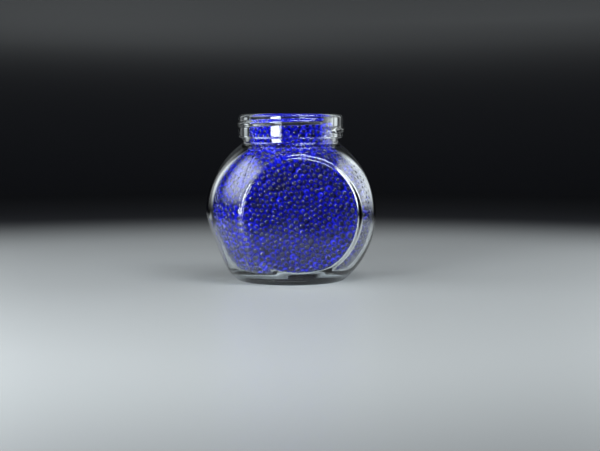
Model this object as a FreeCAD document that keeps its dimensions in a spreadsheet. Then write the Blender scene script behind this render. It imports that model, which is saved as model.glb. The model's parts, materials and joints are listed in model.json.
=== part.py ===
import FreeCAD, Part
import math
import os

import Sketcher

# Open desiccant jar: a thick blown-glass globe with a screw-thread neck, filled to the neck with
# silica gel beads. The globe is flattened front and back, and has a tilted flat on its left side,
# so it can stand upright or lie tipped over with its mouth turned up towards the user.
#
# Frame: millimetres, origin on the table under the neck's axis, +Z up out of the mouth.
# The front flat faces -Y, and the tilted flat faces -X and down.

VECTOR = FreeCAD.Vector
UP = VECTOR(0, 0, 1)

# name, value, meaning
SIZES = [
    ("GlobeRadius", 45.15, "outer radius of the globe"),
    ("CentreHeight", 35.3, "height of the globe's centre above the table"),
    ("JarHeight", 87.6, "height of the rim"),
    ("FlatDistance", 33.0, "from the axis to the front flat, and to the rear flat"),
    ("TiltDistance", 42.1, "from the globe's centre to the tilted side flat"),
    ("TiltDegrees", 20.7, "how far the side flat faces down"),
    ("FlatFillet", 3.0, "rounding where a flat meets the globe"),
    ("HeelFillet", 3.3, "rounding from the globe into the base"),
    ("RootFillet", 1.5, "rounding where the waist meets the globe"),
    ("PushUpRadius", 22.0, "radius of the hollow under the base"),
    ("PushUpDepth", 1.8, "depth of the hollow under the base"),
    ("WallThickness", 3.7, "glass of the globe and of the front and rear flats"),
    ("TiltWallThickness", 2.5, "glass of the tilted side flat"),
    ("FloorThickness", 5.0, "height of the inner floor"),
    ("FloorFillet", 12.0, "rounding of the inner floor's edge, which leaves a thick heel"),
    ("WaistRadius", 25.8, "neck below the thread band"),
    ("BandRadius", 27.55, "neck at the thread's root"),
    ("BandBottom", 75.2, "lower edge of the thread band"),
    ("BandLowFillet", 0.8, "rounding under the thread band"),
    ("BandTopFillet", 1.9, "outer rounding of the rim"),
    ("BoreRadius", 22.2, "inside of the neck"),
    ("LipFillet", 1.4, "inner rounding of the rim"),
    ("ThreadCrest", 28.75, "outer radius of the thread"),
    ("ThreadWidth", 3.4, "width of the thread's root"),
    ("ThreadCrestWidth", 1.3, "width of the thread's crest"),
    ("ThreadPitch", 4.9, "rise of the thread in one turn"),
    ("ThreadStart", 79.0, "height of the thread's lower end"),
    ("ThreadStartDegrees", -53.5, "polar angle of the thread's lower end"),
    ("ThreadSweepDegrees", 360.0, "how far the thread runs round the neck"),
    ("ThreadFadeDegrees", 40.0, "how far each end takes to rise out of the neck"),
    ("BedClearance", 0.25, "gap between the glass and the bed of beads"),
    ("BedTop", 79.8, "top of the packed bed, under the loose top beads"),
    ("LayerGap", 0.2, "gap between two layers of the bed"),
    ("CutOverrun", 5.0, "how far the cavity's cutting shape runs out of the mouth"),
    ("CoarseBead", 3.2, "diameter of the coarse beads"),
    ("MediumBead", 2.8, "diameter of the medium beads"),
    ("FineBead", 2.4, "diameter of the fine beads"),
    ("BeadRings", 6, "rings of loose beads in the neck"),
]

# Bed layers from the bottom up, each with the height of its upper face. The last one ends at BedTop.
BED_LAYERS = [
    ("gel_bed_heel", 17.0),
    ("gel_bed_lower", 29.0),
    ("gel_bed_middle", 41.0),
    ("gel_bed_upper", 53.0),
    ("gel_bed_shoulder", 66.0),
    ("gel_bed_neck", None),
]
# Nodes of loose beads, each with the cell that holds its bead diameter.
BEAD_GROUPS = [
    ("top_beads_fine", "FineBead"),
    ("top_beads_medium", "MediumBead"),
    ("top_beads_coarse", "CoarseBead"),
]
BEADS_IN_FIRST_RING = 6
NEAR_AXIS = 1.0  # an edge inside this radius is on the axis

doc = FreeCAD.newDocument("desiccant_jar")
sheet = doc.addObject("Spreadsheet::Sheet", "Sizes")
for row, (alias, value, meaning) in enumerate(SIZES, start=1):
    sheet.set(f"A{row}", alias)
    sheet.set(f"B{row}", str(value))
    sheet.set(f"C{row}", meaning)
    sheet.setAlias(f"B{row}", alias)
doc.recompute()


def size(alias):
    """A driving dimension's value."""
    return float(getattr(sheet, alias))


def bind(obj, **properties):
    """Binds each property to an expression of the sheet's cells."""
    for name, expression in properties.items():
        obj.setExpression(name, expression)
    return obj


def put(obj, x="0", y="0", z="0"):
    """Binds an object's place to expressions of the sheet's cells."""
    for axis, expression in zip("xyz", (x, y, z)):
        obj.setExpression(f"Placement.Base.{axis}", expression)
    return obj


def origin_plane(body, role):
    return next(plane for plane in body.Origin.OriginFeatures if plane.Role == role)


def edge_names(shape, wanted):
    """The names of the edges whose sampled points all pass the test."""
    names = []
    shortest, samples = 0.1, 7
    for number, edge in enumerate(shape.Edges, start=1):
        if edge.Length > shortest and all(wanted(point) for point in edge.discretize(samples)):
            names.append(f"Edge{number}")
    return names


def fillet(body, name, radius, wanted):
    """Rounds the edges of the body's last feature that pass the test."""
    doc.recompute()
    base = body.Tip
    edges = edge_names(base.Shape, wanted)
    if not edges:
        raise RuntimeError(f"{name} found no edge")
    rounding = body.newObject("PartDesign::Fillet", name)
    rounding.Base = (base, edges)
    return bind(rounding, Radius=radius)


def near(first, second, tolerance=0.02):
    return abs(first - second) < tolerance


def radius_at(point):
    return math.hypot(point.x, point.y)


def tilt_normal():
    """Outward normal of the tilted side flat."""
    angle = math.radians(size("TiltDegrees"))
    return VECTOR(-math.cos(angle), 0, -math.sin(angle))


def globe_sketch(body, inset, neck, floor, top):
    """Half section of the globe and a plain neck, inset from the outside of the glass.

    The last four are expressions. The outline runs from the axis along the floor, up the globe's
    arc, up the neck and back along the top to the axis.
    """
    prefix = body.Name
    sketch = body.newObject("Sketcher::SketchObject", f"{prefix}_section")
    sketch.AttachmentSupport = [(origin_plane(body, "XZ_Plane"), "")]
    sketch.MapMode = "FlatFace"
    value = {
        "neck": sheet_value(neck),
        "floor": sheet_value(floor),
        "top": sheet_value(top),
        "globe": size("GlobeRadius") - sheet_value(inset),
    }
    centre = size("CentreHeight")
    low = math.asin((value["floor"] - centre) / value["globe"])
    high = math.acos(value["neck"] / value["globe"])
    arc = Part.ArcOfCircle(Part.Circle(VECTOR(0, centre, 0), UP, value["globe"]), low, high)
    floor_end = VECTOR(value["globe"] * math.cos(low), value["floor"], 0)
    neck_start = VECTOR(value["neck"], centre + value["globe"] * math.sin(high), 0)
    neck_end = VECTOR(value["neck"], value["top"], 0)
    axis_top = VECTOR(0, value["top"], 0)
    axis_foot = VECTOR(0, value["floor"], 0)
    floor_line = sketch.addGeometry(Part.LineSegment(axis_foot, floor_end))
    globe_arc = sketch.addGeometry(arc)
    neck_line = sketch.addGeometry(Part.LineSegment(neck_start, neck_end))
    top_line = sketch.addGeometry(Part.LineSegment(neck_end, axis_top))
    axis_line = sketch.addGeometry(Part.LineSegment(axis_top, axis_foot))
    start, end, middle = 1, 2, 3
    origin, vertical = -1, -2
    for first, second in zip(
        (floor_line, globe_arc, neck_line, top_line, axis_line),
        (globe_arc, neck_line, top_line, axis_line, floor_line),
    ):
        sketch.addConstraint(Sketcher.Constraint("Coincident", first, end, second, start))
    sketch.addConstraint(Sketcher.Constraint("Horizontal", floor_line))
    sketch.addConstraint(Sketcher.Constraint("Vertical", neck_line))
    sketch.addConstraint(Sketcher.Constraint("Horizontal", top_line))
    sketch.addConstraint(Sketcher.Constraint("PointOnObject", axis_line, start, vertical))
    sketch.addConstraint(Sketcher.Constraint("PointOnObject", globe_arc, middle, vertical))
    dimensions = [
        ("centre_height", "DistanceY", globe_arc, middle, centre, "Sizes.CentreHeight"),
        ("neck_radius", "DistanceX", neck_line, start, value["neck"], neck),
        ("top_height", "DistanceY", top_line, start, value["top"], top),
    ]
    if value["floor"]:
        sketch.addConstraint(Sketcher.Constraint("PointOnObject", axis_line, end, vertical))
        dimensions.append(("floor_height", "DistanceY", floor_line, start, value["floor"], floor))
    else:
        sketch.addConstraint(Sketcher.Constraint("Coincident", axis_line, end, origin, start))
    for name, kind, geometry, end_of_it, start_value, expression in dimensions:
        index = sketch.addConstraint(
            Sketcher.Constraint(kind, origin, start, geometry, end_of_it, start_value)
        )
        sketch.renameConstraint(index, name)
        sketch.setExpression(f"Constraints.{name}", expression)
    index = sketch.addConstraint(Sketcher.Constraint("Radius", globe_arc, value["globe"]))
    sketch.renameConstraint(index, "globe_radius")
    sketch.setExpression("Constraints.globe_radius", f"Sizes.GlobeRadius - ({inset})")
    return sketch


def sheet_value(expression):
    """The value of an expression made of cells and numbers."""
    return float(sheet.evalExpression(expression))


def flat_cut(body, name, distance, rotation):
    """Cuts the globe square to a rotated X axis, at the given distance from its centre."""
    cut = body.newObject("PartDesign::SubtractiveBox", f"{body.Name}_{name}")
    bind(cut, Length="Sizes.GlobeRadius", Width="2 * Sizes.GlobeRadius", Height="2 * Sizes.GlobeRadius")
    reach = size("GlobeRadius")
    corner = VECTOR(sheet_value(distance), -reach, -reach)
    centre = VECTOR(0, 0, size("CentreHeight"))
    cut.Placement = FreeCAD.Placement(centre + rotation.multVec(corner), rotation)
    return cut


def globe_body(name, inset, tilt_inset, neck, floor, top, floor_fillet=None):
    """The globe with its flats and a plain neck, inset from the outside of the glass.

    The tilted flat has an inset of its own, and the edge of the floor may be rounded.
    """
    body = doc.addObject("PartDesign::Body", name)
    sketch = globe_sketch(body, inset, neck, floor, top)
    turned = body.newObject("PartDesign::Revolution", f"{name}_turned")
    turned.Profile = sketch
    turned.ReferenceAxis = (sketch, ["V_Axis"])
    turned.Angle = 360
    doc.recompute()
    if floor_fillet:
        height = sheet_value(floor)
        rim = lambda p: near(p.z, height) and radius_at(p) > NEAR_AXIS
        fillet(body, f"{name}_floor_rounding", floor_fillet, rim)
        doc.recompute()
    flat_cut(body, "front_flat", f"Sizes.FlatDistance - ({inset})", FreeCAD.Rotation(UP, -90))
    doc.recompute()
    flat_cut(body, "rear_flat", f"Sizes.FlatDistance - ({inset})", FreeCAD.Rotation(UP, 90))
    doc.recompute()
    tilt = FreeCAD.Rotation(VECTOR(0, 1, 0), 180 - size("TiltDegrees"))
    flat_cut(body, "tilt_flat", f"Sizes.TiltDistance - ({tilt_inset})", tilt)
    doc.recompute()
    return body


def on_a_flat(point):
    """Whether a point lies on one of the three outer flats."""
    straight, tilted = size("FlatDistance"), size("TiltDistance")
    centre = VECTOR(0, 0, size("CentreHeight"))
    return near(abs(point.y), straight) or near((point - centre).dot(tilt_normal()), tilted)


def glass_globe():
    body = globe_body("glass_globe", "0", "0", "Sizes.WaistRadius", "0", "Sizes.JarHeight")
    fillet(body, "flat_rounding", "Sizes.FlatFillet", on_a_flat)
    fillet(body, "heel_rounding", "Sizes.HeelFillet", lambda p: near(p.z, 0) and radius_at(p) > NEAR_AXIS)
    waist = size("WaistRadius")
    fillet(
        body,
        "root_rounding",
        "Sizes.RootFillet",
        lambda p: near(radius_at(p), waist) and p.z < size("BandBottom"),
    )
    return body


def neck_band():
    """The wide band round the neck that carries the thread."""
    body = doc.addObject("PartDesign::Body", "neck_band")
    disc = body.newObject("PartDesign::AdditiveCylinder", "neck_band_disc")
    bind(disc, Radius="Sizes.BandRadius", Height="Sizes.JarHeight - Sizes.BandBottom")
    put(disc, z="Sizes.BandBottom")
    band, bottom, top = size("BandRadius"), size("BandBottom"), size("JarHeight")
    for name, radius, height in (
        ("band_low_rounding", "Sizes.BandLowFillet", bottom),
        ("band_top_rounding", "Sizes.BandTopFillet", top),
    ):
        fillet(body, name, radius, lambda p: near(p.z, height) and near(radius_at(p), band))
    return body


def thread_ridge():
    """One turn of right-hand thread that rises out of the neck and fades back into it."""
    steps, foot_depth, spare = 24, 0.3, 0.15
    sweep, fade = size("ThreadSweepDegrees"), size("ThreadFadeDegrees")
    half_root, half_crest = size("ThreadWidth") / 2, size("ThreadCrestWidth") / 2
    band, crest = size("BandRadius"), size("ThreadCrest")
    wires = []
    for step in range(steps + 1):
        turn = sweep * step / steps
        from_end = min(turn, sweep - turn, fade) / fade
        sunk = (crest - band + spare) * math.cos(from_end * math.pi / 2) ** 2
        height = size("ThreadStart") + size("ThreadPitch") * turn / 360
        foot = band - foot_depth - sunk
        outline = [
            (foot - foot_depth, -half_root),
            (foot, -half_root),
            (crest - sunk, -half_crest),
            (crest - sunk, half_crest),
            (foot, half_root),
            (foot - foot_depth, half_root),
        ]
        corners = [VECTOR(radius, 0, height + rise) for radius, rise in outline]
        wire = Part.makePolygon(corners + corners[:1])
        wire.rotate(VECTOR(0, 0, 0), UP, size("ThreadStartDegrees") + turn)
        wires.append(wire)
    ridge = doc.addObject("Part::Feature", "thread_ridge")
    ridge.Shape = Part.makeLoft(wires, True, False)
    ridge.Placement = FreeCAD.Placement()
    return ridge


def glass_jar():
    """The one piece of glass: globe, neck band and thread, less the cavity and the push-up."""
    blank = doc.addObject("Part::MultiFuse", "glass_blank")
    blank.Shapes = [glass_globe(), neck_band(), thread_ridge()]
    blank.Refine = False
    cavity = globe_body(
        "cavity",
        "Sizes.WallThickness",
        "Sizes.TiltWallThickness",
        "Sizes.BoreRadius",
        "Sizes.FloorThickness",
        "Sizes.JarHeight + Sizes.CutOverrun",
        "Sizes.FloorFillet",
    )
    hollowed = doc.addObject("Part::Cut", "glass_hollowed")
    hollowed.Base = blank
    hollowed.Tool = cavity
    ball = doc.addObject("Part::Sphere", "push_up_ball")
    ball_radius = "(Sizes.PushUpRadius^2 + Sizes.PushUpDepth^2) / (2 * Sizes.PushUpDepth)"
    put(bind(ball, Radius=ball_radius), z=f"Sizes.PushUpDepth - {ball_radius}")
    footed = doc.addObject("Part::Cut", "glass_footed")
    footed.Base = hollowed
    footed.Tool = ball
    doc.recompute()
    jar = doc.addObject("Part::Fillet", "glass_jar")
    jar.Base = footed
    rim, bore = size("JarHeight"), size("BoreRadius")
    lip = edge_names(footed.Shape, lambda p: near(p.z, rim) and near(radius_at(p), bore))
    jar.Edges = [(int(name[4:]), size("LipFillet"), size("LipFillet")) for name in lip]
    return jar


def bed_layers():
    """The packed bed of beads under the loose ones, as closed layers that follow the cavity."""
    bed = globe_body(
        "bed",
        "Sizes.WallThickness + Sizes.BedClearance",
        "Sizes.TiltWallThickness + Sizes.BedClearance",
        "Sizes.BoreRadius - Sizes.BedClearance",
        "Sizes.FloorThickness + Sizes.BedClearance",
        "Sizes.BedTop",
        "Sizes.FloorFillet - Sizes.BedClearance",
    )
    layers = []
    foot = "0"
    for name, top in BED_LAYERS:
        head = "Sizes.JarHeight" if top is None else str(top)
        slab = doc.addObject("Part::Box", f"{name}_slab")
        bind(slab, Length="3 * Sizes.GlobeRadius", Width="3 * Sizes.GlobeRadius", Height=f"{head} - ({foot})")
        put(slab, x="-1.5 * Sizes.GlobeRadius", y="-1.5 * Sizes.GlobeRadius", z=foot)
        layer = doc.addObject("Part::Common", name)
        layer.Base = bed
        layer.Tool = slab
        layers.append(layer)
        foot = f"{head} + Sizes.LayerGap"
    return layers


def top_bead_groups():
    """The loose beads on top, in rings round the neck's axis, one node for each bead size."""
    groups = {name: [] for name, _ in BEAD_GROUPS}
    rings = int(size("BeadRings"))
    pitch = (size("BoreRadius") - size("BedClearance") - size("CoarseBead") / 2) / rings
    for ring in range(rings + 1):
        beads_in_ring = max(1, BEADS_IN_FIRST_RING * ring)
        stagger = 0.5 * (ring % 2)
        for place in range(beads_in_ring):
            name, cell = BEAD_GROUPS[(place * place + ring) % len(BEAD_GROUPS)]
            turn = 2 * math.pi * (place + stagger) / beads_in_ring
            bead = doc.addObject("Part::Sphere", f"{name}_{len(groups[name]) + 1}")
            bind(bead, Radius=f"Sizes.{cell} / 2")
            x, y = ring * pitch * math.cos(turn), ring * pitch * math.sin(turn)
            put(bead, x=str(x), y=str(y), z=f"Sizes.BedTop + Sizes.BedClearance + Sizes.{cell} / 2")
            groups[name].append(bead)
    compounds = []
    for name, beads in groups.items():
        group = doc.addObject("Part::Compound", name)
        group.Links = beads
        compounds.append(group)
    return compounds


def write(pieces):
    doc.recompute()
    for obj in doc.Objects:
        if "Invalid" in obj.State or "Error" in obj.State:
            raise RuntimeError(f"{obj.Name} failed: {obj.State}")
    os.makedirs("parts", exist_ok=True)
    for piece in pieces:
        shape = piece.Shape
        if shape.isNull() or not shape.isValid() or not shape.Solids:
            raise RuntimeError(f"{piece.Label} has no valid solid")
        shape.exportStep(f"parts/{piece.Label}.step")
        print(f"{piece.Label}: {len(shape.Solids)} solids, {shape.Volume / 1000:.2f} cm3")


write([glass_jar()] + bed_layers() + top_bead_groups())
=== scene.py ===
"""Looks of the open desiccant jar: blown glass over a bed of dark-blue silica gel beads.

Lengths are in millimetres in the working code and turn into metres where a mesh, light or camera is made.
"""

import json
import math

import bmesh
import bpy
import numpy as np
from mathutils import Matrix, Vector


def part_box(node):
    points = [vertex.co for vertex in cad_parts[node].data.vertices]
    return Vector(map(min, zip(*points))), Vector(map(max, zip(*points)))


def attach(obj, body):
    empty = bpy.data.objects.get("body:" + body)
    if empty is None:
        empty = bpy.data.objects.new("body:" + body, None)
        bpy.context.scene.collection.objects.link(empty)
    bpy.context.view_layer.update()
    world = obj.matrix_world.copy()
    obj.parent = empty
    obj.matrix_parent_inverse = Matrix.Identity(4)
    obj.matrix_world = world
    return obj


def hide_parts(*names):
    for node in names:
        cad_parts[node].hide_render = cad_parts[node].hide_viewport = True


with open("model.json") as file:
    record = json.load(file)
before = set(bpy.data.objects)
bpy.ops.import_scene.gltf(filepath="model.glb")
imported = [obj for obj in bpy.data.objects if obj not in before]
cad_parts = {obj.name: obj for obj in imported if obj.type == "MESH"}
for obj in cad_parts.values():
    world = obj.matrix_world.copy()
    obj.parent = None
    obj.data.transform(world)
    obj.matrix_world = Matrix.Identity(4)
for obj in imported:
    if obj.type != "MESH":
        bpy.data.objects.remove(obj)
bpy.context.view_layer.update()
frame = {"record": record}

MM = 0.001

# ---------------------------------------------------------------- the jar's shape, from the frame
mounts = {mount["name"]: mount for mount in frame["record"]["mounts"]}


def box_mm(node):
    low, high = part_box(node)
    return np.array(low) / MM, np.array(high) / MM


JAR_HIGH = box_mm("glass_jar")[1]
BED_HIGH = box_mm("gel_bed_middle")[1]
RIM = JAR_HIGH[2]
GLOBE = JAR_HIGH[0]
FLAT = JAR_HIGH[1]
CENTRE = np.array([0.0, 0.0, mounts["front_flat"]["pos_m"][2] / MM])
BED_GAP = 0.25  # between the CAD bed layers and the glass
WALL = FLAT - BED_HIGH[1] - BED_GAP
TILT_WALL = 2.5
TILT_NORMAL = np.array(mounts["tilt_rest"]["axis"])
TILT = float((np.array(mounts["tilt_rest"]["pos_m"]) / MM - CENTRE) @ TILT_NORMAL)
FLOOR = box_mm("gel_bed_heel")[0][2] - BED_GAP

PUSH_UP, PUSH_UP_DEPTH = 22.0, 1.8  # radius and depth of the hollow under the base
HEEL = 3.3  # rounding from the globe into the base
ROOT = 1.5  # rounding from the globe into the waist
WAIST = 25.8  # radius below the thread band
BAND, BAND_BOTTOM = 27.55, 75.2  # radius and lowest height of the thread band
BAND_UNDERCUT, BAND_LOW, BAND_TOP = 0.5, 0.8, 1.9  # roundings under, at the foot and at the top of the band
LIP = 1.4  # rounding of the rim into the bore
BORE = 22.2  # radius of the mouth
SHOULDER = 3.0  # rounding from the bore into the cavity
FLOOR_ROUND = 12.0  # rounding of the inner floor's edge
FLOOR_DOME = 0.8  # rise of the inner floor at its middle
# Where the rounding of the inner floor's edge turns about, and where it meets the globe.
CORNER_RISE = FLOOR + FLOOR_ROUND - CENTRE[2]
CORNER_RADIUS = math.sqrt((GLOBE - WALL - FLOOR_ROUND) ** 2 - CORNER_RISE**2)
CORNER_TURN = math.atan2(CORNER_RISE, CORNER_RADIUS)

# One turn of right-hand thread, which fades out at both ends.
THREAD_RISE, THREAD_HALF_WIDTH, THREAD_PITCH = 1.2, 1.7, 4.9
THREAD_START, THREAD_START_TURN, THREAD_FADE = 79.0, math.radians(-53.5), math.radians(40)

# Two faint mould seams.
SEAM_TURNS = (math.radians(-135), math.radians(45))
SEAM_RISE, SEAM_HALF_WIDTH = 0.16, 0.42

# Unevenness of blown glass, as the size of its waves, roughly their height, and a seed. The outside's starts
# above the heel and is sunk a little, so that its crests stay within about 0.1 mm of the CAD's outside.
INSIDE_WAVES, OUTSIDE_WAVES = (26, 0.16, 3), (34, 0.045, 8)
OUTSIDE_SINK, WAVES_FADE = 0.05, 8.0

# The beads. Beads centred above BED_TOP less LOOSE_BELOW_BED_TOP belong to the loose layer.
FILL = 83.2
BED_TOP = box_mm("gel_bed_neck")[1][2]
LOOSE_BELOW_BED_TOP = 0.6
FINE_MESH_DEPTH = 4.5  # beads this near the top get the finer mesh
FACING_UP_DEPTH, FACING_UP_CLEAR = 2.6, 0.8  # top beads away from the glass show their painted dark middle, painted shade, upwards
CLOSE_TO_GLASS = 1.2  # beads whose surface is this near the glass get the finer mesh
FLOOR_CLEAR = 0.4  # the beads' floor is flat and lies halfway up the dome of the glass
NECK_FROM = 60.0  # height from which the neck's bore counts as cavity
# Tones: a share of light beads, the spread of all, and painted light that makes beads lighter towards the
# neck.
LIGHT_SHARE, LIGHT_TONE, TONE_SPREAD = 0.05, 0.3, 0.07
NECK_PAINTED_LIGHT, NECK_PAINTED_LIGHT_FROM, NECK_PAINTED_LIGHT_REACH = 0.14, 64.0, 6.0
GRADE_LIMITS = (1.38, 1.6)  # radii that part fine from medium and medium from coarse
TOP_WAVES = (19, 0.45, 21)  # the free surface's unevenness, as for the glass
BEAD_STRETCH = 0.045  # how far a bead's three axes may differ from its radius, as a share
FINE_DETAIL, COARSE_DETAIL = 4, 2  # subdivisions of a bead
SHELL = 8.6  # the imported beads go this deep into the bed, along the glass
CORE_INSET, CORE_FLOOR = 8.2, 8.0  # how far the dark core lies inside the globe's wall and above the floor

rng = np.random.default_rng(58)


# ---------------------------------------------------------------- glass
def flattened(rays, inset, tilt_inset):
    """Vectors from the globe's centre, shortened where they run out of a flat, with rounded edges."""
    sharpness = 115
    to_flat = np.abs(rays[:, 1]) / (FLAT - inset)
    to_tilt = np.maximum(rays @ TILT_NORMAL, 0) / (TILT - tilt_inset)
    total = 1 + to_flat**sharpness + to_tilt**sharpness
    return rays * total[:, None] ** (-1 / sharpness)


def arc(centre, radius, start, stop, spacing):
    """Points on an arc in the half section, without the first one."""
    count = max(3, round(radius * abs(stop - start) / spacing))
    turns = np.linspace(start, stop, count + 1)[1:]
    return np.c_[centre[0] + radius * np.cos(turns), centre[1] + radius * np.sin(turns)]


def line(start, stop, spacing):
    """Points on a straight run in the half section, without the first one."""
    start, stop = np.array(start, float), np.array(stop, float)
    count = max(1, round(np.linalg.norm(stop - start) / spacing))
    return start + (stop - start) * np.linspace(0, 1, count + 1)[1:, None]


def half_section():
    """The closed half section of the glass as (radius, height, surface) rows.

    Surface is 0 where a row keeps to its own radius, 1 on the outside of the globe and 2 on its inside.
    """
    height = CENTRE[2]
    quarter = math.pi / 2
    heel_radius = math.sqrt((GLOBE - HEEL) ** 2 - (height - HEEL) ** 2)
    heel_turn = math.atan2(HEEL - height, heel_radius)
    root_radius = WAIST + ROOT
    root_rise = math.sqrt((GLOBE + ROOT) ** 2 - root_radius**2)
    root_turn = math.atan2(root_rise, root_radius)
    inner = GLOBE - WALL
    shoulder_radius = BORE + SHOULDER
    shoulder_rise = math.sqrt((inner + SHOULDER) ** 2 - shoulder_radius**2)
    shoulder_turn = math.atan2(shoulder_rise, shoulder_radius)

    undercut = (WAIST + BAND_UNDERCUT, BAND_BOTTOM - BAND_UNDERCUT)
    shoulder = (shoulder_radius, height + shoulder_rise)

    finest, fine, coarse = 0.2, 0.34, 0.8
    push = np.linspace(0.4, 1, 22)[:, None] * [[PUSH_UP, 0]]
    push = np.vstack([np.linspace(0.02, 0.36, 9)[:, None] * [[PUSH_UP, 0]], push])
    push[:, 1] = PUSH_UP_DEPTH * (1 - (push[:, 0] / PUSH_UP) ** 2)
    runs = [
        (0, push),
        (0, line((PUSH_UP, 0), (heel_radius, 0), coarse)),
        (1, arc((heel_radius, HEEL), HEEL, -quarter, heel_turn, fine)),
        (1, arc((0, height), GLOBE, heel_turn, root_turn, coarse)),
        (0, arc((root_radius, height + root_rise), ROOT, root_turn + 2 * quarter, 2 * quarter, fine)),
        (0, line((WAIST, height + root_rise), (WAIST, BAND_BOTTOM - BAND_UNDERCUT), fine)),
        (0, arc(undercut, BAND_UNDERCUT, 2 * quarter, quarter, finest)),
        (0, line((WAIST + BAND_UNDERCUT, BAND_BOTTOM), (BAND - BAND_LOW, BAND_BOTTOM), fine)),
        (0, arc((BAND - BAND_LOW, BAND_BOTTOM + BAND_LOW), BAND_LOW, -quarter, 0, finest)),
        (0, line((BAND, BAND_BOTTOM + BAND_LOW), (BAND, RIM - BAND_TOP), fine)),
        (0, arc((BAND - BAND_TOP, RIM - BAND_TOP), BAND_TOP, 0, quarter, fine)),
        (0, line((BAND - BAND_TOP, RIM), (BORE + LIP, RIM), fine)),
        (0, arc((BORE + LIP, RIM - LIP), LIP, quarter, 2 * quarter, fine)),
        (0, line((BORE, RIM - LIP), (BORE, height + shoulder_rise), 0.6)),
        (2, arc(shoulder, SHOULDER, 2 * quarter, 2 * quarter + shoulder_turn, fine)),
        (2, arc((0, height), inner, shoulder_turn, CORNER_TURN, coarse)),
        (2, arc((CORNER_RADIUS, FLOOR + FLOOR_ROUND), FLOOR_ROUND, CORNER_TURN, -quarter, 0.7)),
    ]
    floor = np.linspace(CORNER_RADIUS, 0.4, 30)[1:, None] * [[1, 0]]
    floor[:, 1] = FLOOR + FLOOR_DOME * (1 - (floor[:, 0] / CORNER_RADIUS) ** 2)
    runs.append((0, floor))
    return np.vstack([np.c_[points, np.full(len(points), surface)] for surface, points in runs])


def thread_rise(turns, heights):
    """How far the thread stands out of the neck."""
    along = np.mod(turns - THREAD_START_TURN, 2 * math.pi)
    from_end = np.minimum(np.minimum(along, 2 * math.pi - along) / THREAD_FADE, 1)
    across = (heights - THREAD_START - THREAD_PITCH * along / (2 * math.pi)) / THREAD_HALF_WIDTH
    bump = np.clip(1 - across**2, 0, None) ** 1.5
    return THREAD_RISE * np.sin(from_end * math.pi / 2) ** 2 * bump


def waves(points, size, amount, seed):
    """A smooth random unevenness, as a sum of plane waves."""
    source = np.random.default_rng(seed)
    total = np.zeros(len(points))
    wave_count = 9
    for _ in range(wave_count):
        wave = source.normal(size=3)
        wave *= 2 * math.pi / (size * source.uniform(0.7, 1.6) * np.linalg.norm(wave))
        total += np.sin(points @ wave + source.uniform(0, 2 * math.pi))
    return amount * total / 3


def columns():
    """Turns round the axis, closer together across the two mould seams."""
    column_count, seam_reach, seam_step = 280, 0.016, 0.0045
    turns = list(np.linspace(-math.pi, math.pi, column_count, endpoint=False))
    for seam in SEAM_TURNS:
        turns = [turn for turn in turns if abs(turn - seam) > seam_reach]
        turns += [seam + step * seam_step for step in range(-3, 4)]
    return np.sort(turns)


def glass_surface():
    """Points and faces of the jar, as one closed surface of revolution with flats pressed into it."""
    section = half_section()
    turns = columns()
    rows, count = len(section), len(turns)
    radius, height = np.repeat(section[:, 0], count), np.repeat(section[:, 1], count)
    surface = np.repeat(section[:, 2], count)
    turn = np.tile(turns, rows)
    on_band = (radius > BAND - 0.01) & (surface == 0)
    radius = radius + np.where(on_band, thread_rise(turn, height), 0)
    points = np.c_[radius * np.cos(turn), radius * np.sin(turn), height]

    for kind, inset, tilt_inset in ((1, 0.0, 0.0), (2, WALL, TILT_WALL)):
        chosen = surface == kind
        points[chosen] = CENTRE + flattened(points[chosen] - CENTRE, inset, tilt_inset)

    outward = points - CENTRE
    outward /= np.linalg.norm(outward, axis=1)[:, None]
    around = np.abs(np.mod(turn[:, None] - np.array(SEAM_TURNS) + math.pi, 2 * math.pi) - math.pi).min(axis=1)
    across = around * radius / SEAM_HALF_WIDTH
    seam = SEAM_RISE * np.where(across < 1, (1 - across**2) ** 2, 0) * (surface == 1) * (height > HEEL)
    inside = (surface == 2) * waves(points, *INSIDE_WAVES)
    fade_in = np.clip((height - HEEL) / WAVES_FADE, 0, 1)
    outside = (surface == 1) * fade_in * (waves(points, *OUTSIDE_WAVES) - OUTSIDE_SINK)
    points += outward * (seam + inside + outside)[:, None]

    foot = np.array([[0, 0, PUSH_UP_DEPTH], [0, 0, FLOOR + FLOOR_DOME]])
    first, last = len(points), len(points) + 1
    points = np.vstack([points, foot])
    index = np.arange(rows * count).reshape(rows, count)
    ahead = np.roll(index, -1, axis=1)
    quads = np.stack([index[:-1], ahead[:-1], ahead[1:], index[1:]], axis=-1).reshape(-1, 4)
    foot_fan = [(first, ahead[0, i], index[0, i]) for i in range(count)]
    floor_fan = [(last, index[-1, i], ahead[-1, i]) for i in range(count)]
    return points, [tuple(face) for face in quads] + foot_fan + floor_fan


def mesh_object(name, points, faces):
    mesh = bpy.data.meshes.new(name)
    mesh.from_pydata((points * MM).tolist(), [], faces)
    mesh.update()
    mesh.validate()
    mesh.shade_smooth()
    piece = bpy.data.objects.new(name, mesh)
    bpy.context.scene.collection.objects.link(piece)
    return piece


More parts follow.
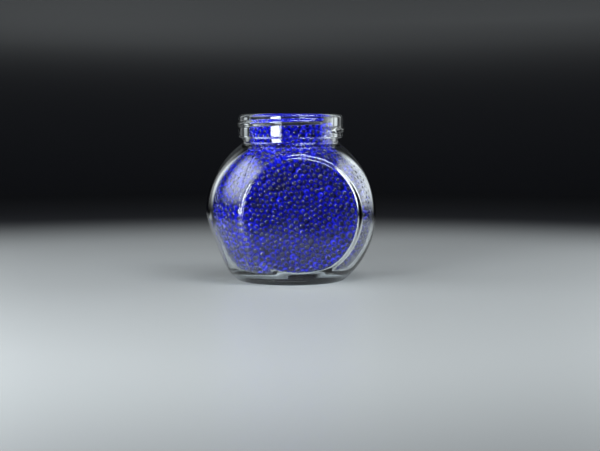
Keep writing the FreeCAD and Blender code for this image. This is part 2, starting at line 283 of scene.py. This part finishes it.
# ---------------------------------------------------------------- beads
def depth_and_way_out(points):
    """How deep points lie inside the cavity, and the unit direction towards the nearest glass."""
    from_centre = points - CENTRE
    length = np.maximum(np.linalg.norm(from_centre, axis=1), 1e-9)
    across = np.maximum(np.hypot(points[:, 0], points[:, 1]), 1e-9)
    around = points[:, :2] / across[:, None]
    zero = np.zeros(len(points))
    side = np.where(from_centre[:, 1] < 0, -1.0, 1.0)

    from_ring = np.c_[across - CORNER_RADIUS, from_centre[:, 2] - CORNER_RISE]
    ring_length = np.maximum(np.linalg.norm(from_ring, axis=1), 1e-9)
    ring_way = np.c_[around * (from_ring[:, :1] / ring_length[:, None]), from_ring[:, 1] / ring_length]
    turn = np.arctan2(from_ring[:, 1], from_ring[:, 0])
    in_corner = (from_ring[:, 0] > 0) & (turn < CORNER_TURN)
    round_depth = np.where(in_corner, FLOOR_ROUND - ring_length, GLOBE - WALL - length)
    round_way = np.where(in_corner[:, None], ring_way, from_centre / length[:, None])
    # In the corner the floor's plane doesn't count, so it is put out of reach there.
    floor_depth = np.where(in_corner, GLOBE, points[:, 2] - FLOOR - FLOOR_CLEAR)
    walls = [
        (round_depth, round_way),
        (FLAT - WALL - np.abs(from_centre[:, 1]), np.c_[zero, side, zero]),
        (TILT - TILT_WALL - from_centre @ TILT_NORMAL, np.tile(TILT_NORMAL, (len(points), 1))),
        (floor_depth, np.tile([0.0, 0.0, -1.0], (len(points), 1))),
    ]
    softness = 0.9
    depths = np.stack([wall[0] for wall in walls])
    nearest = depths.min(axis=0)
    weights = np.exp(-np.minimum((depths - nearest) / softness, 50))
    globe = nearest - softness * np.log(weights.sum(axis=0))
    way = sum(weight[:, None] * wall[1] for weight, wall in zip(weights, walls))
    way /= np.maximum(np.linalg.norm(way, axis=1), 1e-9)[:, None]

    neck = np.minimum(BORE - across, points[:, 2] - NECK_FROM)
    neck_way = np.c_[around, zero]
    in_neck = neck > globe
    depth = np.where(in_neck, neck, globe)
    return depth, np.where(in_neck[:, None], neck_way, way)


def near_pairs(points, reach):
    """Index pairs of points closer together than reach, found in a grid of cells."""
    cells = np.floor((points - points.min(axis=0)) / reach).astype(np.int64) + 1
    span = cells.max(axis=0) + 2
    keys = (cells[:, 0] * span[1] + cells[:, 1]) * span[2] + cells[:, 2]
    order = np.argsort(keys, kind="stable")
    ordered = keys[order]
    found = []
    for step_x in (0, 1):
        for step_y in (-1, 0, 1):
            for step_z in (-1, 0, 1):
                step = (step_x * span[1] + step_y) * span[2] + step_z
                if step < 0:
                    continue
                start = np.searchsorted(ordered, keys + step, side="left")
                stop = np.searchsorted(ordered, keys + step, side="right")
                many = stop - start
                first = np.repeat(np.arange(len(points)), many)
                place = np.arange(many.sum()) - np.repeat(np.cumsum(many) - many, many)
                second = order[np.repeat(start, many) + place]
                keep = first < second if step == 0 else np.ones(len(first), bool)
                found.append(np.c_[first[keep], second[keep]])
    pairs = np.vstack(found)
    apart = np.linalg.norm(points[pairs[:, 0]] - points[pairs[:, 1]], axis=1)
    return pairs[apart < reach]


def top_height(points):
    """The uneven free surface of the poured beads."""
    return FILL + waves(np.c_[points[:, :2], np.zeros(len(points))], *TOP_WAVES)


def settle(points, radii, shell, core_top, rounds):
    """Pushes overlapping beads apart inside a shell along the glass and a full layer in the neck."""
    clearance, haste = 0.06, 1.3
    pull, pull_reach, sinking, recall = 0.12, 2.4, 0.05, 0.5
    for step in range(rounds):
        if step % 5 == 0:
            pairs = near_pairs(points, 2 * radii.max() + 0.6)
        first, second = pairs[:, 0], pairs[:, 1]
        offset = points[second] - points[first]
        apart = np.maximum(np.linalg.norm(offset, axis=1), 1e-6)
        overlap = np.maximum(radii[first] + radii[second] - apart, 0)
        push = offset * (0.5 * overlap / apart)[:, None]
        touching = overlap > 0
        contacts = np.bincount(first[touching], minlength=len(points))
        contacts = contacts + np.bincount(second[touching], minlength=len(points))
        share = 1 / np.maximum(contacts, 2) ** 0.5
        for axis in range(3):
            forwards = np.bincount(second, push[:, axis], len(points))
            backwards = np.bincount(first, push[:, axis], len(points))
            points[:, axis] += haste * share * (forwards - backwards)
        settling = 1 - step / rounds
        depth, way = depth_and_way_out(points)
        points += way * (pull * settling * (depth < pull_reach * radii))[:, None]
        points[:, 2] -= sinking * settling * (points[:, 2] > core_top)
        depth, way = depth_and_way_out(points)
        points += way * np.minimum(depth - radii - clearance, 0)[:, None]
        too_deep = (depth > shell - radii) & (points[:, 2] < core_top)
        outwards, upwards = depth - (shell - radii), core_top - points[:, 2]
        sideways = too_deep & (outwards <= upwards)
        points += way * (recall * outwards * sideways)[:, None]
        points[:, 2] += recall * upwards * (too_deep & ~sideways)
        points[:, 2] = np.minimum(points[:, 2], top_height(points) - radii)
    return points


def bead_charge():
    """Centres and radii of the visible beads: about three deep along the glass, and all in the neck."""
    core_top = 73.5
    mean, spread, smallest, largest = 1.5, 0.2, 1.1, 2.05
    packing, trials = 0.6, 400000
    low = np.array([-GLOBE, -FLAT, FLOOR])
    high = np.array([GLOBE, FLAT, FILL])
    trial = rng.uniform(low, high, (trials, 3))
    depth = depth_and_way_out(trial)[0]
    inside = (depth > 0) & ((depth < SHELL) | (trial[:, 2] > core_top))
    volume = np.prod(high - low) * inside.mean()
    count = int(packing * volume / (4 / 3 * math.pi * mean**3 * (1 + 3 * (spread / mean) ** 2)))
    points = trial[inside][:count].copy()
    radii = np.clip(rng.normal(mean, spread, count), smallest, largest)
    rounds = 220
    return settle(points, radii, SHELL, core_top, rounds), radii


def unit_ball(detail):
    """Corners and triangles of a unit icosphere."""
    ball = bmesh.new()
    bmesh.ops.create_icosphere(ball, subdivisions=detail, radius=1.0)
    ball.verts.ensure_lookup_table()
    points = np.array([vert.co for vert in ball.verts])
    faces = np.array([[vert.index for vert in face.verts] for face in ball.faces])
    ball.free()
    return points, faces


def random_turns(count):
    """Uniform random rotation matrices."""
    quaternion = rng.normal(size=(count, 4))
    quaternion /= np.linalg.norm(quaternion, axis=1)[:, None]
    w, x, y, z = quaternion.T
    rows = [
        [1 - 2 * (y * y + z * z), 2 * (x * y - z * w), 2 * (x * z + y * w)],
        [2 * (x * y + z * w), 1 - 2 * (x * x + z * z), 2 * (y * z - x * w)],
        [2 * (x * z - y * w), 2 * (y * z + x * w), 1 - 2 * (x * x + y * y)],
    ]
    return np.moveaxis(np.array(rows), -1, 0)


def beads_object(name, mine, material):
    """One piece made of separate beads. Those close to the glass or the top get a finer mesh.

    Each corner knows how far round its bead it lies from the side that faces out of the jar, as its painted
    rim light from 0, painted shade, to 1, a painted glow, and its bead's tone with the painted neck light.
    """
    corners, corner_count, triangles, rim_painted_lights, corner_tones_and_painted_neck_light = [], 0, [], [], []
    for detail, chosen in ((FINE_DETAIL, mine & close), (COARSE_DETAIL, mine & ~close)):
        ball, faces = unit_ball(detail)
        number = int(chosen.sum())
        if not number:
            continue
        stretch = 1 + rng.uniform(-BEAD_STRETCH, BEAD_STRETCH, (number, 1, 3))
        shaped = (ball[None] * stretch) @ np.swapaxes(random_turns(number), 1, 2)
        placed = shaped * radii[chosen][:, None, None] + centres[chosen][:, None, :]
        corners.append(placed.reshape(-1, 3))
        starts = corner_count + np.arange(number)[:, None, None] * len(ball)
        triangles.append((faces[None] + starts).reshape(-1, 3))
        facing = np.einsum("nij,nj->ni", shaped, ways[chosen])
        # Painted light: 0, painted shade, in the middle of the outward side, rising to 1, a painted glow,
        # round the rim and behind it.
        rim_painted_lights.append(np.where(facing > 0, np.sqrt(np.clip(1 - facing**2, 0, 1)), 1).ravel())
        corner_tones_and_painted_neck_light.append(np.repeat(tones_and_painted_neck_light[chosen], len(ball)))
        corner_count += number * len(ball)
    corners, triangles = np.vstack(corners), np.vstack(triangles)
    mesh = bpy.data.meshes.new(name)
    mesh.vertices.add(len(corners))
    mesh.vertices.foreach_set("co", (corners * MM).astype(np.float32).ravel())
    mesh.loops.add(len(triangles) * 3)
    mesh.loops.foreach_set("vertex_index", triangles.astype(np.int32).ravel())
    mesh.polygons.add(len(triangles))
    mesh.polygons.foreach_set("loop_start", np.arange(0, len(triangles) * 3, 3, dtype=np.int32))
    mesh.materials.append(material)
    for label, values in (("rim_painted_light", np.concatenate(rim_painted_lights)), ("tone_and_painted_neck_light", np.concatenate(corner_tones_and_painted_neck_light))):
        mesh.attributes.new(label, "FLOAT", "POINT").data.foreach_set("value", values.astype(np.float32))
    mesh.update(calc_edges=True)
    mesh.validate()
    mesh.shade_smooth()
    piece = bpy.data.objects.new(name, mesh)
    bpy.context.scene.collection.objects.link(piece)
    return piece


# ---------------------------------------------------------------- materials
def new_material(name):
    material = bpy.data.materials.new(name)
    material.use_nodes = True
    tree = material.node_tree
    tree.nodes.clear()
    output = tree.nodes.new("ShaderNodeOutputMaterial")
    shader = tree.nodes.new("ShaderNodeBsdfPrincipled")
    tree.links.new(shader.outputs["BSDF"], output.inputs["Surface"])
    return material, tree, shader, output


def noise(tree, scale, detail=3.0):
    """Object-space noise, so that it keeps its scale on every piece."""
    place = tree.nodes.new("ShaderNodeTexCoord")
    texture = tree.nodes.new("ShaderNodeTexNoise")
    texture.inputs["Scale"].default_value = scale
    texture.inputs["Detail"].default_value = detail
    tree.links.new(place.outputs["Object"], texture.inputs["Vector"])
    return texture.outputs["Fac"]


def glass_material():
    material, tree, shader, output = new_material("clear_glass")
    shader.inputs["Base Color"].default_value = (0.93, 0.97, 0.985, 1)
    shader.inputs["Roughness"].default_value = 0.0
    shader.inputs["IOR"].default_value = 1.48
    shader.inputs["Transmission Weight"].default_value = 1.0
    bump = tree.nodes.new("ShaderNodeBump")
    bump.inputs["Strength"].default_value = 0.12
    bump.inputs["Distance"].default_value = 0.0006
    tree.links.new(noise(tree, 55, 1.5), bump.inputs["Height"])
    tree.links.new(bump.outputs["Normal"], shader.inputs["Normal"])
    through = tree.nodes.new("ShaderNodeBsdfTransparent")
    through.inputs["Color"].default_value = (0.93, 0.96, 0.98, 1)
    rays = tree.nodes.new("ShaderNodeLightPath")
    mix = tree.nodes.new("ShaderNodeMixShader")
    tree.links.new(rays.outputs["Is Shadow Ray"], mix.inputs["Fac"])
    tree.links.new(shader.outputs["BSDF"], mix.inputs[1])
    tree.links.new(through.outputs["BSDF"], mix.inputs[2])
    tree.links.new(mix.outputs["Shader"], output.inputs["Surface"])
    return material


def attribute(tree, name):
    node = tree.nodes.new("ShaderNodeAttribute")
    node.attribute_name = name
    return node.outputs["Fac"]


def combine(tree, operation, first, second):
    """A Math node on two sockets, or on a socket and a number."""
    node = tree.nodes.new("ShaderNodeMath")
    node.operation = operation
    tree.links.new(first, node.inputs[0])
    if isinstance(second, float):
        node.inputs[1].default_value = second
    else:
        tree.links.new(second, node.inputs[1])
    return node.outputs[0]


def gel_material(name, brightness):
    """Opaque cobalt blue, with painted shade on a bead's outward side and a painted glow round its rim, as
    light through clear gel looks.
    """
    material, tree, shader, _ = new_material(name)
    cloud = combine(tree, "MULTIPLY", combine(tree, "SUBTRACT", noise(tree, 420, 2.0), 0.5), 0.5)
    # Painted rim light plus the bead's tone with the painted neck light, plus noise.
    level = combine(tree, "ADD", combine(tree, "ADD", attribute(tree, "rim_painted_light"), attribute(tree, "tone_and_painted_neck_light")), cloud)
    ramp = tree.nodes.new("ShaderNodeValToRGB")
    # From painted shade in a bead's middle to a painted bright blue glow round its rim.
    stops = [
        (0.30, (0.0004, 0.0006, 0.018)),
        (0.66, (0.0004, 0.0008, 0.06)),
        (0.86, (0.0005, 0.0012, 0.2)),
        (1.0, (0.001, 0.003, 0.42)),
    ]
    while len(ramp.color_ramp.elements) < len(stops):
        ramp.color_ramp.elements.new(0.5)
    for element, (position, colour) in zip(ramp.color_ramp.elements, stops):
        element.position = position
        element.color = (*(min(channel * brightness, 1) for channel in colour), 1)
    tree.links.new(level, ramp.inputs["Fac"])
    tree.links.new(ramp.outputs["Color"], shader.inputs["Base Color"])
    shader.inputs["Roughness"].default_value = 0.05
    shader.inputs["IOR"].default_value = 1.46
    return material


# ---------------------------------------------------------------- pieces
glass = mesh_object("blown_glass_jar", *glass_surface())
glass.data.materials.append(glass_material())
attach(glass, "jar")
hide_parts("glass_jar")

BLUE_GEL = gel_material("cobalt_gel", 0.8)
LIGHT_GEL = gel_material("light_cobalt_gel", 1.2)

centres, radii = bead_charge()
depths, ways = depth_and_way_out(centres)
near_top = centres[:, 2] > FILL - FINE_MESH_DEPTH
# Top beads away from the glass turn their painted dark middle, painted shade, upwards.
ways[(centres[:, 2] > FILL - FACING_UP_DEPTH) & (depths > radii + FACING_UP_CLEAR)] = (0.0, 0.0, 1.0)
tones_and_painted_neck_light = rng.normal(0, TONE_SPREAD, len(centres))
tones_and_painted_neck_light += LIGHT_TONE * (rng.uniform(size=len(centres)) < LIGHT_SHARE)
# Painted light: beads grow lighter towards the neck.
tones_and_painted_neck_light += NECK_PAINTED_LIGHT * np.clip((centres[:, 2] - NECK_PAINTED_LIGHT_FROM) / NECK_PAINTED_LIGHT_REACH, 0, 1)
close = (depths < radii + CLOSE_TO_GLASS) | near_top
loose = centres[:, 2] > BED_TOP - LOOSE_BELOW_BED_TOP
print(f"{len(centres)} beads, {int(close.sum())} close to the glass, {int(loose.sum())} loose")

layers = ["gel_bed_" + layer for layer in ("heel", "lower", "middle", "upper", "shoulder", "neck")]
tops = [box_mm(layer)[1][2] for layer in layers[:-1]]
level = np.digitize(centres[:, 2], tops)
for number, layer in enumerate(layers):
    piece = beads_object(layer + "_beads", (level == number) & ~loose, BLUE_GEL)
    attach(piece, "jar")
    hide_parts(layer)

sizes = np.digitize(radii, GRADE_LIMITS)
for number, grade in enumerate(("fine", "medium", "coarse")):
    name = f"top_beads_{grade}"
    gel, slot = (LIGHT_GEL, "blue_gel_light") if grade == "fine" else (BLUE_GEL, "blue_gel")
    piece = beads_object("loose_" + name, loose & (sizes == number), gel)
    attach(piece, "top_beads")
    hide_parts(name)


def bed_core():
    """A stand-in for the middle of the bed, in darker gel as painted shade, seen only as darkness between the
    beads.
    """
    inset = WALL + CORE_INSET
    rows, count = 60, 96
    tilts = np.linspace(-math.pi / 2, math.pi / 2, rows)[1:-1]
    turns = np.linspace(0, 2 * math.pi, count, endpoint=False)
    tilt, turn = np.repeat(tilts, count), np.tile(turns, rows - 2)
    directions = np.c_[np.cos(tilt) * np.cos(turn), np.cos(tilt) * np.sin(turn), np.sin(tilt)]
    points = CENTRE + flattened(directions * (GLOBE - inset), inset, inset)
    points[:, 2] = np.maximum(points[:, 2], FLOOR + CORE_FLOOR)
    index = np.arange((rows - 2) * count).reshape(rows - 2, count)
    ahead = np.roll(index, -1, axis=1)
    quads = np.stack([index[:-1], ahead[:-1], ahead[1:], index[1:]], axis=-1).reshape(-1, 4)
    faces = [tuple(face) for face in quads] + [tuple(index[0][::-1]), tuple(index[-1])]
    return points, faces


core = mesh_object("bed_core", *bed_core())
# The core's gel at three tenths of the brightness is painted shade deep in the bed.
core.data.materials.append(gel_material("gel_core_painted_shade", 0.3))
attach(core, "jar")


# ---------------------------------------------------------------- stage, light and camera
CAMERA_TURN = math.radians(-99.45)


def stage_floor():
    """A round floor that curves up into a wall all round, so that every side view has the same ground."""
    reach, bend, top, count = 900.0, 250.0, 1300.0, 96
    section = [(reach * step, 0.0) for step in (0.02, 0.25, 0.5, 0.75, 1.0)]
    for turn in np.linspace(0, math.pi / 2, 13)[1:]:
        section.append((reach + bend * math.sin(turn), bend - bend * math.cos(turn)))
    section.append((reach + bend, top))
    turns = np.linspace(0, 2 * math.pi, count, endpoint=False)
    points = np.array([(r * math.cos(turn), r * math.sin(turn), z) for r, z in section for turn in turns])
    index = np.arange(len(points)).reshape(len(section), count)
    ahead = np.roll(index, -1, axis=1)
    quads = np.stack([index[:-1], index[1:], ahead[1:], ahead[:-1]], axis=-1).reshape(-1, 4)
    faces = [tuple(face) for face in quads] + [tuple(index[0])]
    floor = mesh_object("studio_floor", points, faces)
    floor.data.materials.append(stage_material())


def stage_material():
    """Paper that is mid grey round the jar and falls off to near black further out."""
    material, tree, shader, _ = new_material("studio_paper")
    place = tree.nodes.new("ShaderNodeTexCoord")
    length = tree.nodes.new("ShaderNodeVectorMath")
    length.operation = "LENGTH"
    ramp = tree.nodes.new("ShaderNodeValToRGB")
    ramp.color_ramp.interpolation = "EASE"
    ramp.color_ramp.elements[0].position = 0.22
    ramp.color_ramp.elements[0].color = (0.29, 0.295, 0.3, 1)
    ramp.color_ramp.elements[1].position = 0.52
    ramp.color_ramp.elements[1].color = (0.014, 0.0145, 0.018, 1)
    tree.links.new(place.outputs["Object"], length.inputs[0])
    tree.links.new(length.outputs["Value"], ramp.inputs["Fac"])
    tree.links.new(ramp.outputs["Color"], shader.inputs["Base Color"])
    shader.inputs["Roughness"].default_value = 0.4
    return material


def soften(lamp, edge, low, high):
    """Fades a rectangular lamp towards its edges, and from low at its foot to high at its top."""
    lamp.use_nodes = True
    tree = lamp.node_tree
    emission = tree.nodes["Emission"]
    place = tree.nodes.new("ShaderNodeNewGeometry")
    parts = tree.nodes.new("ShaderNodeSeparateXYZ")
    tree.links.new(place.outputs["Parametric"], parts.inputs["Vector"])

    def ramp(socket, start, stop, first, last, smooth):
        node = tree.nodes.new("ShaderNodeMapRange")
        node.interpolation_type = "SMOOTHSTEP" if smooth else "LINEAR"
        for label, value in zip(("From Min", "From Max", "To Min", "To Max"), (start, stop, first, last)):
            node.inputs[label].default_value = value
        tree.links.new(socket, node.inputs["Value"])
        return node.outputs["Result"]

    strength = ramp(parts.outputs["Y"], 0, 1, low, high, False)
    for side in ("X", "Y"):
        for start, stop in ((0, edge), (1, 1 - edge)):
            strength = combine(tree, "MULTIPLY", strength, ramp(parts.outputs[side], start, stop, 0, 1, True))
    tree.links.new(strength, emission.inputs["Strength"])


def area_light(name, place, width, height, radiance, edge, low, high, aim=(0, 0, 45)):
    lamp = bpy.data.lights.new(name, "AREA")
    lamp.shape = "RECTANGLE"
    lamp.size, lamp.size_y = width * MM, height * MM
    lamp.color = (0.92, 0.98, 1.0)
    lamp.energy = radiance * math.pi * lamp.size * lamp.size_y
    soften(lamp, edge, low, high)
    light = bpy.data.objects.new(name, lamp)
    light.location = Vector(place) * MM
    light.rotation_euler = (Vector(aim) - Vector(place)).to_track_quat("-Z", "Y").to_euler()
    bpy.context.scene.collection.objects.link(light)


def panel(name, azimuth, distance, height, width, tall, radiance, edge=0.25, low=1.0, high=1.0):
    """A softbox that faces the jar, azimuth degrees to the left of the camera."""
    turn = CAMERA_TURN - math.radians(azimuth)
    place = (distance * math.cos(turn), distance * math.sin(turn), height)
    area_light(name, place, width, tall, radiance, edge, low, high)


def studio():
    stage_floor()
    panel("front_left_strip", 34, 520, 150, 205, 300, 26, edge=0.12)
    panel("left_softbox", 80, 480, 360, 760, 640, 5, edge=0.35, low=0.5, high=1.1)
    panel("right_softbox", -100, 480, 240, 520, 480, 3, edge=0.25, low=0.9, high=0.8)
    panel("right_high_softbox", -46, 420, 480, 440, 300, 15, edge=0.3)
    panel("top_softbox", -24, 230, 620, 260, 200, 15, edge=0.3)
    panel("rear_left_softbox", 138, 520, 200, 260, 420, 1.1, edge=0.4)
    panel("rear_right_softbox", -135, 520, 200, 260, 420, 1.3, edge=0.4)
    world = bpy.data.worlds.new("studio_world")
    world.use_nodes = True
    background = world.node_tree.nodes["Background"]
    background.inputs["Color"].default_value = (0.85, 0.88, 0.93, 1)
    background.inputs["Strength"].default_value = 0.03
    bpy.context.scene.world = world
    bpy.context.scene.view_settings.view_transform = "Standard"


def camera():
    lens = bpy.data.cameras.new("camera")
    lens.lens, lens.sensor_width = 69.0, 36.0
    lens.clip_start, lens.clip_end = 0.01, 10
    eye = bpy.data.objects.new("camera", lens)
    distance, height = 610.7, 75.4
    pitch, yaw = math.radians(4.37), math.radians(0.45)
    eye.location = Vector((distance * math.cos(CAMERA_TURN), distance * math.sin(CAMERA_TURN), height)) * MM
    eye.rotation_euler = (math.pi / 2 - pitch, 0, CAMERA_TURN + math.pi / 2 - yaw)
    bpy.context.scene.collection.objects.link(eye)
    bpy.context.scene.camera = eye


studio()
camera()
